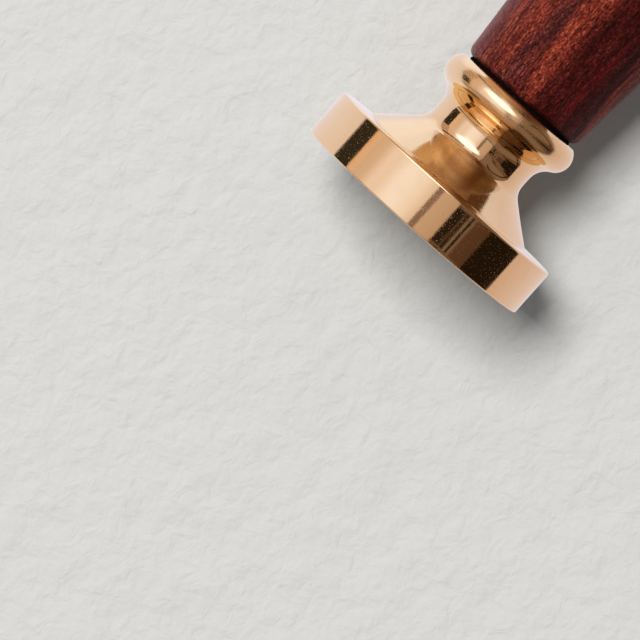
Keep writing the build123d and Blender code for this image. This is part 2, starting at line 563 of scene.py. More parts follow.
@dataclass(frozen=True)
class BrassFinish:
    """Polished brass with a warm rose gold tone.

    Where the head mirrors its own cone, cove or bead, the mirrored part takes a painted tint and a
    blur, told by the length of the mirrored ray: a painted reflection. The overhang's image changes
    across the head and is white beyond its sides, with a painted highlight on the belly, and the cone's
    image is tinted at its sides. The overhang is the bead's underside with the cove. Lengths are in
    millimetres.
    """

    effects: Effects
    name: str = "polished_brass"
    colour: Colour = (0.935, 0.70, 0.44)
    worn_colour: Colour = (0.915, 0.67, 0.41)
    roughness: float = 0.035
    smear_roughness: float = 0.07
    speck_density: float = 9.0
    speck_edge: Point = (0.66, 0.72)
    speck_roughness: float = 0.30
    bead_heights: Band = (12.35, 14.3, 0.3)
    bead_roughness: float = 0.12
    mirrored_distances: Point = (2.6, 3.0)
    overhang_heights: Band = (10.3, 14.5, 0.3)
    overhang_edge: Point = (5.35, 6.15)
    overhang_half_width: float = 5.0
    overhang_roughness: float = 0.50
    # Painted reflection: tints of the overhang's image in the brass, across the head
    overhang_reflection_tints: Stops = (
        (0.12, (1.0, 1.0, 0.90)), (0.21, (0.72, 0.67, 0.54)), (0.31, (0.52, 0.44, 0.34)),
        (0.405, (0.58, 0.52, 0.48)), (0.50, (0.64, 0.60, 0.55)), (0.595, (0.62, 0.55, 0.47)),
        (0.69, (0.55, 0.45, 0.34)), (0.79, (0.55, 0.40, 0.30)), (0.88, (0.85, 0.80, 0.65)),
    )
    belly_heights: Band = (11.35, 11.85, 0.35)
    belly_sides: Band = (-2.9, 1.8, 1.2)
    # Painted highlight in the overhang's image at the belly
    belly_painted_highlight: Colour = (1.5, 1.6, 1.75)
    cone_heights: Band = (4.5, 8.6, 0.3)
    # Painted reflection: where the cone is seen in the brass, its sides take this tint
    cone_reflection_edge: Point = (4.4, 5.2)
    cone_reflection_tint: Colour = (0.86, 0.78, 0.52)
    engraved_heights: Band = (0.12, 0.55, 0.08)
    engraved_edge: Point = (11.4, 11.6)
    engraved_colour: Colour = (0.60, 0.40, 0.22)
    engraved_roughness: float = 0.33
    ring_share: float = 0.25
    fleck_height: float = 0.0016

    def material(self) -> Material:
        """Build the material."""
        material, graph = new_material(self.name)
        place = graph.millimetres()
        x, _, z = graph.apart(place)
        smear = graph.effect(self.effects.handling, place, Smear_Density=0.35)["Smear"]
        turned = graph.effect(self.effects.turning, place, Ring_Density=5.0, Fleck_Density=5.5)
        seen_far = graph.mirrored_beyond(*self.mirrored_distances)
        far_overhang = seen_far * graph.window(z, *self.overhang_heights)
        far_cone = seen_far * graph.window(z, *self.cone_heights)
        overhang = far_overhang * graph.span(abs(x), *self.overhang_edge, 1.0, 0.0)
        within = graph.span(graph.length(graph.stretched(place, 1.0, 0.0)), *self.engraved_edge, 1.0, 0.0)
        engraved = within * graph.window(z, *self.engraved_heights)
        colour = graph.mix(smear, self.colour, self.worn_colour)
        # Painted reflection: the overhang's image in the brass takes a tint that changes across the head
        tint = graph.ramp(x * (0.5 / self.overhang_half_width) + 0.5, self.overhang_reflection_tints)
        # Painted highlight: the overhang's image is lighter at the belly
        belly = graph.window(z, *self.belly_heights) * graph.window(x, *self.belly_sides)
        tint = graph.mix(belly, tint, graph.tinted(tint, self.belly_painted_highlight))
        # Painted reflection: the cone's image takes a tint at its sides, and the overhang's image is white
        # beyond its sides
        cone_reflection = far_cone * graph.span(abs(x), *self.cone_reflection_edge)
        beside = graph.mix(cone_reflection, colour, graph.tinted(colour, self.cone_reflection_tint))
        beside = graph.mix(far_overhang, beside, WHITE)
        colour = graph.mix(overhang, beside, graph.tinted(colour, tint))
        rough = graph.span(smear, 0.0, 1.0, self.roughness, self.smear_roughness, Easing.STRAIGHT)
        specks = graph.noise(place, self.speck_density, detail=1.0)
        for mask, added in (
            (graph.span(specks, *self.speck_edge), self.speck_roughness),
            (graph.window(z, *self.bead_heights), self.bead_roughness),
            (overhang, self.overhang_roughness),
            (engraved, self.engraved_roughness),
        ):
            rough = rough + mask * added
        graph.surface(
            Base_Color=graph.mix(engraved, colour, self.engraved_colour),
            Roughness=rough,
            Metallic=1.0,
            Normal=graph.relief(turned["Flecks"] + turned["Rings"] * self.ring_share, self.fleck_height),
        )
        return material


@dataclass(frozen=True)
class WoodFinish:
    """Red brown stained hardwood under a clear gloss lacquer, grain along the axis, in millimetres."""

    foot: float
    name: str = "stained_wood"
    # Drift, streak, fibre, fleck, grit and pores: density across and along, then the noise's form
    layers: Sequence[tuple[float, ...]] = (
        (0.16, 0.05, 3.0, 0.55), (1.5, 0.16, 5.0, 0.62, 0.6), (5.5, 1.1, 3.0, 0.65),
        (6.5, 3.4, 3.0, 0.7), (6.0, 3.6, 3.0, 0.75), (6.5, 0.9),
    )
    # Shares of the drift, streak, fibre and fleck
    tone_shares: tuple[float, ...] = (0.40, 1.05, 0.55, 0.30)
    # Shares of the grit, fibre and pores
    relief_shares: tuple[float, ...] = (0.5, 0.5, 0.6)
    tones: Point = (0.82, 1.50)
    stain: Stops = (
        (0.0, (0.044, 0.0045, 0.0035)), (0.30, (0.090, 0.0095, 0.0065)), (0.52, (0.185, 0.021, 0.012)),
        (0.74, (0.31, 0.044, 0.024)), (1.0, (0.46, 0.085, 0.045)),
    )
    flecks: Point = (0.36, 0.66)
    # Darker flecks, and painted glints of the lacquer at the pale end
    fleck_and_glint_tints: Stops = (
        (0.0, (0.40, 0.36, 0.38)), (0.45, (0.84, 0.82, 0.84)), (0.7, (1.15, 1.3, 1.4)),
        (1.0, (1.7, 2.7, 3.1)),
    )
    pore_edge: Point = (0.60, 0.69)
    # Colour of the pores, also the painted shade at the foot
    pore_and_shade_colour: Colour = (0.012, 0.002, 0.002)
    pore_share: float = 0.8
    # Painted reflection: paler brown that the wood shows when seen in the brass from afar
    painted_reflection_veil: Colour = (0.45, 0.25, 0.135)
    veil_share: float = 0.75
    veil_distances: Point = (5.0, 8.0)
    # Painted shade at the foot: how dark, and how high it reaches
    foot_shade: float = 0.22
    foot_shade_height: float = 0.62
    dark_band_sides: Band = (0.82, 5.96, 1.1)
    dark_band_pull: float = 3.0
    dark_band_tint: Colour = (0.31, 0.23, 0.31)
    figure_half_width: float = 7.0
    figure_pull: float = 1.5
    figure: Stops = (
        (-6.7, WHITE), (-5.96, (1.0, 1.0, 1.05)), (-5.09, (1.0, 1.0, 0.92)), (-4.77, (1.3, 1.6, 1.25)),
        (-4.43, (0.95, 0.92, 0.85)), (-3.77, (1.0, 1.0, 0.92)), (-3.43, (1.3, 1.5, 1.2)),
        (-3.06, (0.85, 0.95, 1.0)), (-2.53, (0.66, 0.90, 1.1)), (-1.75, (0.74, 0.95, 1.1)),
        (-1.06, (1.05, 1.1, 1.0)), (-0.47, (1.25, 1.4, 1.15)), (0.24, (1.0, 1.0, 0.92)), (3.48, WHITE),
        (3.77, (1.6, 0.9, 1.3)), (4.06, (1.6, 0.9, 1.3)), (4.34, WHITE), (6.7, WHITE),
    )
    dulled_side: Point = (3.5, 5.5)
    dulled_roughness: float = 0.25
    roughness: Point = (0.24, 0.42)
    gloss: float = 0.13
    grain_depth: float = 0.12

    def material(self) -> Material:
        """Build the material."""
        material, graph = new_material(self.name)
        place = graph.millimetres()
        x, _, z = graph.apart(place)
        drift, streak, fibre, fleck, grit, pores = (
            graph.noise(graph.stretched(place, across, along), 1.0, *form)
            for across, along, *form in self.layers)
        pores = graph.span(pores, *self.pore_edge)
        of_drift, of_streak, of_fibre, of_fleck = self.tone_shares
        tone = streak * of_streak + (drift * of_drift + (fibre * of_fibre + fleck * of_fleck))
        colour = graph.ramp(graph.span(tone, *self.tones, easing=Easing.STRAIGHT), self.stain)
        colour = graph.mix(pores * self.pore_share, colour, self.pore_and_shade_colour)
        # Flecks: darker specks, and painted glints of the lacquer that whiten the wood
        flecks = graph.ramp(graph.span(fleck, *self.flecks, easing=Easing.STRAIGHT), self.fleck_and_glint_tints)
        colour = graph.tinted(graph.tinted(colour, flecks), self._figure(graph, x, streak - 0.5))
        # Painted shade: the wood darkens towards its foot, beside the washer
        painted_foot_shade = graph.span(z, self.foot, self.foot + self.foot_shade_height, 1.0 - self.foot_shade, 0.0)
        colour = graph.mix(painted_foot_shade, colour, self.pore_and_shade_colour)
        # Painted reflection: seen in the brass from afar, the wood takes a paler brown
        colour = graph.mix(graph.mirrored_beyond(*self.veil_distances) * self.veil_share, colour, self.painted_reflection_veil)
        dulled = graph.span(x, *self.dulled_side, 0.0, self.dulled_roughness)
        of_grit, of_fibre, of_pores = self.relief_shares
        graph.surface(
            Base_Color=colour,
            Roughness=dulled + graph.span(grit, *NOISE_RANGE, *self.roughness, Easing.STRAIGHT),
            Specular_IOR_Level=self.gloss,
            Normal=graph.relief(grit * of_grit + fibre * of_fibre - pores * of_pores, self.grain_depth),
        )
        return material

    def _figure(self, graph: Graph, across: Signal, pull: Signal) -> Signal:
        """Figure of the blank: pale, grey and crimson streaks, and a darker band to the right of the axis.

        Args:
            graph: Graph of the material.
            across: Distance to the right of the axis.
            pull: What pulls the edges of the figure about, along the grain.

        Returns:
            Colour that the stain is multiplied by.
        """
        dark_band = graph.window(pull * self.dark_band_pull + across, *self.dark_band_sides)
        width = 2 * self.figure_half_width
        streaks = graph.ramp((pull * self.figure_pull + across) * (1 / width) + 0.5,
                             [(place / width + 0.5, tint) for place, tint in self.figure])
        return graph.tinted(graph.mix(dark_band, WHITE, self.dark_band_tint), streaks)


@dataclass(frozen=True)
class FibreFinish:
    """Matt black washer, slightly furred at its cut edge."""

    name: str = "black_fibre"
    colour: Colour = (0.004, 0.003, 0.003)
    worn_colour: Colour = (0.012, 0.009, 0.008)
    roughness: Point = (0.6, 0.85)
    fur_density: float = 6.0
    worn_edge: Point = (0.45, 0.7)
    fur_depth: float = 0.03

    def material(self) -> Material:
        """Build the material."""
        material, graph = new_material(self.name)
        fur = graph.noise(graph.millimetres(), self.fur_density, detail=4.0, roughness=0.7)
        graph.surface(
            Base_Color=graph.mix(graph.span(fur, *self.worn_edge), self.colour, self.worn_colour),
            Roughness=graph.span(fur, *NOISE_RANGE, *self.roughness, Easing.STRAIGHT),
            Specular_IOR_Level=0.0,
            Normal=graph.relief(fur, self.fur_depth),
        )
        return material


@dataclass(frozen=True)
class SteelFinish:
    """Zinc plated steel of a rolled thread."""

    effects: Effects
    name: str = "plated_steel"
    colour: Colour = (0.62, 0.61, 0.58)
    dull_colour: Colour = (0.40, 0.39, 0.37)
    roughness: Point = (0.22, 0.42)
    ring_depth: float = 0.01

    def material(self) -> Material:
        """Build the material."""
        material, graph = new_material(self.name)
        place = graph.millimetres()
        smear = graph.effect(self.effects.handling, place, Smear_Density=0.9)["Smear"]
        turned = graph.effect(self.effects.turning, place, Ring_Density=9.0, Fleck_Density=9.0)
        graph.surface(
            Base_Color=graph.mix(smear, self.colour, self.dull_colour),
            Roughness=graph.span(smear, 0.0, 1.0, *self.roughness, Easing.STRAIGHT),
            Metallic=1.0,
            Normal=graph.relief(turned["Rings"], self.ring_depth),
        )
        return material


# Sub-assemblies


@dataclass
class Thread:
    """Machine thread that joins the head and the stud, in millimetres."""

    diameter: float = 7.0
    pitch: float = 1.0
    depth_share: float = 0.6134
    crest_share: float = 0.125
    flank_angle: float = 30.0
    clearance: float = 0.07
    reach: float = 8.5
    run_out: float = 0.8
    countersink: float = 0.3

    @property
    def groove_radius(self) -> float:
        """Radius of the groove's floor in the tapped hole."""
        return self.diameter / 2 + self.clearance

    @property
    def bore_radius(self) -> float:
        """Radius of the tapped hole's crests."""
        return self.groove_radius - self.depth_share * self.pitch

    @property
    def mouth_radius(self) -> float:
        """Radius of the tapped hole's countersunk mouth."""
        return self.groove_radius + self.countersink

    def hole_radius(self, height: float, angle: float, start: float) -> float:
        """Wall radius of the tapped hole.

        Args:
            height: Height in the hole.
            angle: Angle about the axis in radians.
            start: Height where the groove starts. Below it the wall is plain.

        Returns:
            The radius.
        """
        turned = angle / (2 * math.pi)
        groove_height = (round(height / self.pitch - turned) + turned) * self.pitch
        if groove_height < start:
            return self.bore_radius
        beyond_crest = abs(height - groove_height) - self.crest_share * self.pitch / 2 - self.clearance
        fall = max(0.0, beyond_crest) / math.tan(math.radians(self.flank_angle))
        return max(self.bore_radius, self.groove_radius - fall)


@dataclass
class SealHead:
    """Turned and polished brass head, engraved below and tapped above, in millimetres."""

    effects: Effects
    thread: Thread = field(default_factory=Thread)
    die_diameter: float = 25.0
    rim_height: float = 4.72
    rim_rounding: float = 0.26
    face_edge_rounding: float = 0.12
    ledge_rise: float = 0.16
    cone_foot_diameter: float = 18.77
    cone_height: float = 3.34
    cone_foot_fillet: float = 0.3
    cone_hollow: float = 0.036
    neck_diameter: float = 10.74
    neck_length: float = 0.95
    neck_fillet: float = 1.72
    neck_waist: float = 0.015
    cove_radius: float = 1.95
    bead_diameter: float = 14.65
    bead_section_radius: float = 1.67
    crown_facing: float = 0.31
    engraving_depth: float = 0.45
    ring_line_diameter: float = 21.8
    ring_line_width: float = 0.45
    rosette_diameter: float = 18.4
    rosette_line_width: float = 0.42
    petal_count: int = 6
    petal_steps: int = 64
    segments: int = 240
    corner_steps: int = 12
    arc_steps: int = 36
    rows_per_turn: int = 12
    longest_stretch: float = 0.4
    sharp_angle: float = 32.0

    @property
    def cone_foot_height(self) -> float:
        """Height where the ledge meets the cone."""
        return self.rim_height + self.ledge_rise

    @property
    def neck_bottom(self) -> float:
        """Height where the neck's straight stretch starts."""
        lean = math.atan2((self.cone_foot_diameter - self.neck_diameter) / 2, self.cone_height)
        return self.cone_foot_height + self.cone_height + self.neck_fillet * math.tan(lean / 2)

    @property
    def bead_centre(self) -> Point:
        """Centre of the bead's section."""
        radius = self.bead_diameter / 2 - self.bead_section_radius
        run = self.neck_diameter / 2 + self.cove_radius - radius
        reach = self.cove_radius + self.bead_section_radius
        return radius, self.neck_bottom + self.neck_length + math.sqrt(reach ** 2 - run ** 2)

    @property
    def top(self) -> float:
        """Height of the head's flat top."""
        return self.bead_centre[1] + self.bead_section_radius - self.crown_facing

    @property
    def face_edge(self) -> float:
        """Radius where the flat die face ends."""
        return self.die_diameter / 2 - 2 * self.face_edge_rounding

    def outside(self) -> list[Point]:
        """Outline of the outside, from the die face's edge up to the tapped hole's mouth."""
        rim = self.die_diameter / 2
        neck = self.neck_diameter / 2
        neck_top = self.neck_bottom + self.neck_length
        lower = rounded([
            Corner(self.face_edge, 0),
            Corner(rim, 0, self.face_edge_rounding),
            Corner(rim, self.rim_height, self.rim_rounding),
            Corner(self.cone_foot_diameter / 2, self.cone_foot_height, self.cone_foot_fillet),
            Corner(neck, self.cone_foot_height + self.cone_height, self.neck_fillet),
            Corner(neck, neck_top),
        ], self.corner_steps)
        cone = 3 * (self.corner_steps + 1)
        lower[-1:-1] = hollowed(lower[-2], lower[-1], self.neck_waist)
        lower[cone + 1:cone + 1] = hollowed(lower[cone], lower[cone + 1], self.cone_hollow)
        cove, bead = (neck + self.cove_radius, neck_top), self.bead_centre
        meeting = math.atan2(bead[1] - cove[1], bead[0] - cove[0])
        crown = math.asin(1 - self.crown_facing / self.bead_section_radius)
        cove_arc = arc(cove, self.cove_radius, math.pi, meeting, self.arc_steps)
        bead_arc = arc(bead, self.bead_section_radius, meeting - math.pi, crown, 2 * self.arc_steps)
        crown_edge = (self.thread.mouth_radius, self.top)
        return subdivided(lower + cove_arc[1:-1] + bead_arc + [crown_edge], self.longest_stretch)

    def hole_rows(self) -> list[Row]:
        """Rows of the tapped hole, from its countersunk mouth down to the middle of its floor."""
        thread = self.thread
        floor = self.top - thread.reach - thread.run_out
        start = floor + thread.run_out - thread.pitch / 4

        def wall(angle: float, height: float) -> Point:
            """Point of the wall at an angle and a height."""
            sink = thread.mouth_radius - (self.top - height)
            return max(thread.hole_radius(height, angle, start), sink), height

        steps = self.rows_per_turn * math.ceil((self.top - floor) / thread.pitch)
        heights = [self.top - (self.top - floor) * share for share in shares(steps)[1:]]
        rows: list[Row] = [lambda angle, height=height: wall(angle, height) for height in heights]
        return rows + steady([(0.0, floor)])

    def engraved_face(self) -> Mesh:
        """Die face with its lines cut in, as an open skin that ends at the face's edge."""
        ring, half = self.ring_line_diameter / 2, self.ring_line_width / 2
        turn = 2 * math.pi
        outlines = [arc((0, 0), radius, 0, turn, self.segments)[:-1]
                    for radius in (self.face_edge, ring + half, ring - half)]
        outlines += [self._petal_line(turn * share) for share in shares(self.petal_count)[:-1]]
        points, loops = [], []
        for outline in outlines:
            loops.append(list(range(len(points), len(points) + len(outline))))
            points += [Vector(point) for point in outline]
        cut = geometry.delaunay_2d_cdt(points, [], loops, 1, SAME_POINT, True)
        flat, _, triangles, _, _, owners = cut
        shape = bmesh.new()
        levels = [[shape.verts.new((point.x * MM, point.y * MM, depth * MM)) for point in flat]
                  for depth in (0, self.engraving_depth)]
        depths_beside: dict[tuple[int, ...], list[int]] = {}
        for triangle, inside in zip(triangles, owners):
            deep = int((1 in inside and 2 not in inside) or max(inside) > 2)
            shape.faces.new([levels[deep][corner] for corner in triangle])
            for here, there in zip(triangle, triangle[1:] + triangle[:1]):
                depths_beside.setdefault(tuple(sorted((here, there))), []).append(deep)
        for (here, there), depths in depths_beside.items():
            if sorted(depths) == [0, 1]:
                shape.faces.new((levels[0][here], levels[0][there], levels[1][there], levels[1][here]))
        bmesh.ops.delete(shape, geom=[vert for vert in shape.verts if not vert.link_faces], context="VERTS")
        return finished("die_face", shape)

    def _petal_line(self, towards: float) -> list[Point]:
        """Outline of one line of the rosette, an arc whose centre lies on the rosette's edge.

        Args:
            towards: Direction of the arc's centre in radians.

        Returns:
            The points round the line.
        """
        radius, half = self.rosette_diameter / 2, self.rosette_line_width / 2
        centre = (radius * math.cos(towards), radius * math.sin(towards))
        sides = []
        for reach in (radius + half, radius - half):
            spread = math.acos(reach / (2 * radius))
            middle = towards + math.pi
            sides.append(arc(centre, reach, middle - spread, middle + spread, self.petal_steps))
        return sides[0] + sides[1][::-1]

    def build(self) -> Object:
        """Build and dress the head."""
        skin = lathe("seal_head_skin", steady(self.outside()) + self.hole_rows(), self.segments)
        mesh = welded("seal_head_polished", [skin, self.engraved_face()])
        head = piece("seal_head_polished", mesh, self.sharp_angle)
        dress(head, BrassFinish(self.effects).material())
        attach(head, Body.HEAD.value)
        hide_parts("seal_head")
        return head


@dataclass
class SeatingWasher:
    """Thin black washer between the head and the handle, in millimetres."""

    base: float
    thickness: float
    diameter: float = 11.9
    bore_diameter: float = 7.6
    edge_rounding: float = 0.09
    corner_steps: int = 5
    segments: int = 128
    sharp_angle: float = 50.0

    def build(self) -> Object:
        """Build and dress the washer."""
        outer, inner, top = self.diameter / 2, self.bore_diameter / 2, self.base + self.thickness
        seam = Corner((inner + outer) / 2, self.base)
        outline = rounded([
            seam,
            Corner(outer, self.base, self.edge_rounding),
            Corner(outer, top, self.edge_rounding),
            Corner(inner, top, self.edge_rounding / 2),
            Corner(inner, self.base, self.edge_rounding / 2),
            seam,
        ], self.corner_steps)
        mesh = welded("washer_ring", [lathe("washer_skin", steady(outline), self.segments)])
        washer = piece("washer_ring", mesh, self.sharp_angle)
        dress(washer, FibreFinish().material())
        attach(washer, Body.WASHER.value)
        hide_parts("seating_washer")
        return washer


@dataclass
class WoodenHandle:
    """Turned and lacquered wooden handle, in millimetres."""

    foot: float
    end: float
    foot_diameter: float = 13.14
    foot_rounding: float = 0.8
    flare_angle: float = 4.1
    belly_diameter: float = 22.0
    belly_height: float = 56.0
    lower_pull_share: float = 0.38
    upper_pull_share: float = 0.42
    dome_side_pull_share: float = 0.58
    dome_top_pull_share: float = 0.62
    hole_diameter: float = 7.26
    hole_depth: float = 24.0
    hole_mouth: Point = (0.15, 0.2)
    hole_stretch: float = 2.0
    foot_steps: int = 12
    side_steps: int = 96
    dome_steps: int = 56
    segments: int = 192
    sharp_angle: float = 40.0

    def outline(self) -> list[Point]:
        """Outline from the floor of the stud's hole, over the foot, and up to the domed end."""
        foot_radius, belly_radius = self.foot_diameter / 2, self.belly_diameter / 2
        flare = math.tan(math.radians(self.flare_angle))
        start = self.foot + self.foot_rounding
        belly = self.foot + self.belly_height
        lower_pull = self.lower_pull_share * (belly - start)
        upper_pull = self.upper_pull_share * (belly - start)
        half = self.foot_rounding / 2
        hole = self.hole_diameter / 2
        widening, rise = self.hole_mouth
        inside = subdivided([(hole, self.foot + self.hole_depth), (hole, self.foot + rise),
                             (hole + widening, self.foot)], self.hole_stretch)
        rounding = bezier([
            (foot_radius - self.foot_rounding, self.foot),
            (foot_radius - half, self.foot),
            (foot_radius - half * flare, start - half),
            (foot_radius, start),
        ], self.foot_steps)
        side = bezier([
            (foot_radius, start),
            (foot_radius + lower_pull * flare, start + lower_pull),
            (belly_radius, belly - upper_pull),
            (belly_radius, belly),
        ], self.side_steps)
        dome = bezier([
            (belly_radius, belly),
            (belly_radius, belly + self.dome_side_pull_share * (self.end - belly)),
            (self.dome_top_pull_share * belly_radius, self.end),
            (0.0, self.end),
        ], self.dome_steps)
        return [(0.0, self.foot + self.hole_depth)] + inside + rounding + side[1:] + dome[1:]

    def build(self) -> Object:
        """Build and dress the handle."""
        mesh = lathe("handle_turned", steady(self.outline()), self.segments)
        handle = piece("handle_turned", mesh, self.sharp_angle)
        dress(handle, WoodFinish(self.foot).material())
        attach(handle, Body.HANDLE.value)
        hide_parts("handle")
        return handle


@dataclass
class Stud:
    """Double ended stud: the frame's own threaded piece, with a plated finish."""

    effects: Effects
    piece: Object

    def build(self) -> Object:
        """Give the stud its finish."""
        dress(self.piece, SteelFinish(self.effects).material())
        return self.piece


# Studio


@dataclass(frozen=True)
class Card:
    """Card of the mirrored room. Its edges are bearings and climbs in degrees."""

    left: float
    right: float
    bottom: float
    top: float
    paint: Colour
    soft: float = 2.0
    strength: float = 1.0


DARK: Colour = (0.022, 0.013, 0.008)


@dataclass
class Reflections:
    """What polished brass mirrors: a dark room with one large soft light, between sheets of pale paper.

    A direction is told by its bearing from the front, which is -Y, positive to the right, and by
    its climb above the level, both in degrees. Shades that go across the room run from 0 at the
    far left to 1 at the far right.
    """

    graph: Graph
    direction: Signal
    light: Colour = (2.0, 1.93, 1.86)
    light_middle: Point = (-20.0, 20.0)
    light_reach: Point = (30.0, 15.0)
    light_squareness: float = 2.5
    light_edge: Point = (0.25, 1.5)
    coolness: Colour = (1.0, 1.02, 1.10)
    slit: Colour = (0.267, 0.175, 0.134)
    left_stripes: Stops = (
        (-180, (0.86, 0.82, 0.85)), (-140, (0.84, 0.78, 0.79)), (-117, (0.83, 0.75, 0.73)),
        (-96.3, (0.81, 0.70, 0.655)), (-95.3, (0.033, 0.026, 0.016)), (-76.9, (0.033, 0.026, 0.016)),
        (-75.9, (0.80, 0.52, 0.32)), (-69.3, (0.76, 0.55, 0.39)), (-68.3, (0.70, 0.51, 0.38)),
        (-59, (0.72, 0.55, 0.44)), (-49.7, (0.905, 0.79, 0.725)), (-42.5, (0.88, 0.77, 0.715)),
        (-32, (0.995, 0.96, 1.0)), (-23.5, (1.0, 0.98, 1.02)), (-11.8, (0.94, 0.863, 0.83)),
        (-5.1, (0.82, 0.70, 0.61)), (-2.8, (0.78, 0.66, 0.57)), (-1.9, slit), (0, slit),
    )
    right_stripes: Stops = (
        (0, slit), (3.3, slit), (4.1, (0.60, 0.44, 0.33)), (12, (0.575, 0.41, 0.30)),
        (20.2, (0.51, 0.367, 0.262)), (21.1, DARK), (29.0, DARK), (29.6, (0.10, 0.06, 0.035)),
        (30.5, (0.10, 0.06, 0.035)), (31, DARK), (33.6, DARK), (34, (0.27, 0.18, 0.115)),
        (35.4, (0.27, 0.18, 0.115)), (35.8, DARK), (38.4, DARK), (38.9, (0.24, 0.16, 0.105)),
        (40.2, (0.24, 0.16, 0.105)), (41, (0.10, 0.050, 0.028)), (56.6, (0.085, 0.042, 0.022)),
        (57.6, (0.014, 0.008, 0.004)), (93.1, (0.014, 0.008, 0.004)), (94.1, (0.66, 0.49, 0.40)),
        (123, (0.71, 0.585, 0.54)), (150, (0.76, 0.66, 0.64)), (180, (0.80, 0.72, 0.72)),
    )
    wall_cards: tuple[Card, ...] = (
        Card(-181.0, -112.0, 24.0, 70.0, (0.99, 0.97, 0.97), soft=16.0),
        Card(-95.8, -76.4, -60.0, -20.0, (0.60, 0.42, 0.29)),
        Card(-95.8, -76.4, 11.0, 60.0, (0.60, 0.42, 0.29)),
        Card(-2.5, 21.0, -60.0, -13.0, (0.36, 0.25, 0.18), soft=1.2),
        Card(-2.5, 21.0, 8.0, 60.0, (0.48, 0.34, 0.25), soft=1.2),
    )
    recess_sides: Band = (20.5, 95.0, 2.0)
    recess_middle: float = -1.9
    # How fast half its height grows with the bearing, what is taken off, and the least half height
    recess_growth: tuple[float, ...] = (0.21, 2.3, 3.6)
    # Shares of half its height
    recess_edge: Point = (0.98, 1.06)
    recess_rim: Band = (0.88, 1.04, 0.08)
    wedge: Band = (0.42, 0.86, 0.12)
    wedge_colour: Colour = (0.17, 0.10, 0.06)
    beyond_recess: Colour = (0.22, 0.14, 0.085)
    oval_middle: Point = (58.0, -5.0)
    oval_reach: Point = (31.0, 50.0)
    oval_line: Band = (0.86, 1.10, 0.10)
    oval_side: Point = (34.0, 44.0)
    slant_start: float = -18.8
    slant_rise: float = 0.44
    slant_edge: Point = (0.6, 1.8)
    slant_sides: Band = (-3.0, 30.0, 2.0)
    low_card: Card = Card(-73.0, -2.5, -60.0, -17.0, (0.64, 0.46, 0.33), soft=9.0)
    light_frame: tuple[Card, ...] = (
        Card(-97.0, -25.0, 40.0, 45.0, DARK, soft=1.5),
        Card(-97.0, -30.0, -31.0, -27.0, DARK, soft=1.5, strength=0.8),
    )
    floor_cards: tuple[Card, ...] = (
        Card(-112.0, -60.0, -62.0, -43.0, DARK, soft=3.0),
        Card(25.0, 97.0, -62.0, -43.0, DARK, soft=3.0),
    )
    ceiling_start: Point = (44.0, 52.0)
    # The front ends where the direction's Y is this, and sooner below the bend
    ceiling_end: float = 0.3625
    ceiling_skew: float = -0.018
    ceiling_bend: Point = (55.0, 58.5)
    low_end_share: float = 0.33
    ceiling_line: Band = (-0.035, 0.0, 0.01)
    ceiling_line_side: Point = (0.10, 0.22)
    ceiling_line_colour: Colour = (0.10, 0.05, 0.02)
    front_ceiling: Stops = (
        (0.10, (0.62, 0.42, 0.28)), (0.32, (0.54, 0.30, 0.13)), (0.37, (0.60, 0.37, 0.17)),
        (0.46, (0.38, 0.22, 0.12)), (0.56, (0.20, 0.11, 0.055)), (0.60, (0.095, 0.037, 0.015)),
        (0.66, (0.095, 0.040, 0.016)), (0.90, (0.24, 0.14, 0.085)),
    )
    back_ceiling: Stops = ((0.2, (0.98, 0.97, 0.98)), (0.8, (0.72, 0.625, 0.60)))
    floor_start: Point = (-40.0, -31.0)
    floor_end: Point = (-0.05, 0.10)
    front_floor: Stops = (
        (0.1, (0.50, 0.33, 0.20)), (0.35, (0.42, 0.25, 0.13)), (0.55, (0.43, 0.25, 0.13)),
        (0.65, (0.32, 0.17, 0.09)), (0.75, (0.11, 0.055, 0.03)), (0.9, (0.20, 0.12, 0.07)),
    )
    back_floor: Stops = ((0.2, (0.85, 0.80, 0.77)), (0.8, (0.66, 0.58, 0.54)))
    dim_end: Point = (-0.05, 0.15)
    second_bounce: Stops = (
        (0.5, WHITE), (0.6, (0.85, 0.85, 0.85)), (0.7, (0.60, 0.60, 0.60)), (0.85, (0.45, 0.45, 0.45)),
    )

    def __post_init__(self) -> None:
        """Split the direction that a mirror ray leaves in into its bearing and climb."""
        graph = self.graph
        self.x, self.y, z = graph.apart(self.direction)
        self.bearing = graph.math("DEGREES", graph.math("ARCTAN2", self.x, self.y * -1.0))
        self.climb = graph.math("DEGREES", graph.math("ARCSINE", z))
        self.across = self.x * 0.5 + 0.5

    def stripes(self) -> Signal:
        """Upright stripes near the level, as the disc's rim mirrors them."""
        turn = self.bearing * (1 / 360) + 0.5
        left, right = (self.graph.ramp(turn, [(bearing / 360 + 0.5, colour) for bearing, colour in stops])
                       for stops in (self.left_stripes, self.right_stripes))
        return self.graph.mix(self.graph.span(self.bearing, *SHARP_EDGE), left, right)

    def hung(self, shade: Signal, cards: Iterable[Card]) -> Signal:
        """Hang cards in the room.

        Args:
            shade: What is there before.
            cards: The cards, the nearest last.

        Returns:
            The room with the cards.
        """
        for card in cards:
            mask = (self.graph.window(self.bearing, card.left, card.right, card.soft)
                    * self.graph.window(self.climb, card.bottom, card.top, card.soft))
            shade = self.graph.mix(mask * card.strength, shade, card.paint)
        return shade

    def oval(self, middle: Point, reach: Point, squareness: float = 2.0) -> Signal:
        """Number that is one on an oval outline, less inside it and more outside.

        Args:
            middle: Bearing and climb of its middle.
            reach: How far it goes to each side, and how far up and down.
            squareness: Two for a true oval, and more for a squarer one.

        Returns:
            The number in every direction.
        """
        axes = zip((self.bearing, self.climb), middle, reach)
        across, up = (abs((angle - centre) / half) ** squareness for angle, centre, half in axes)
        return across + up

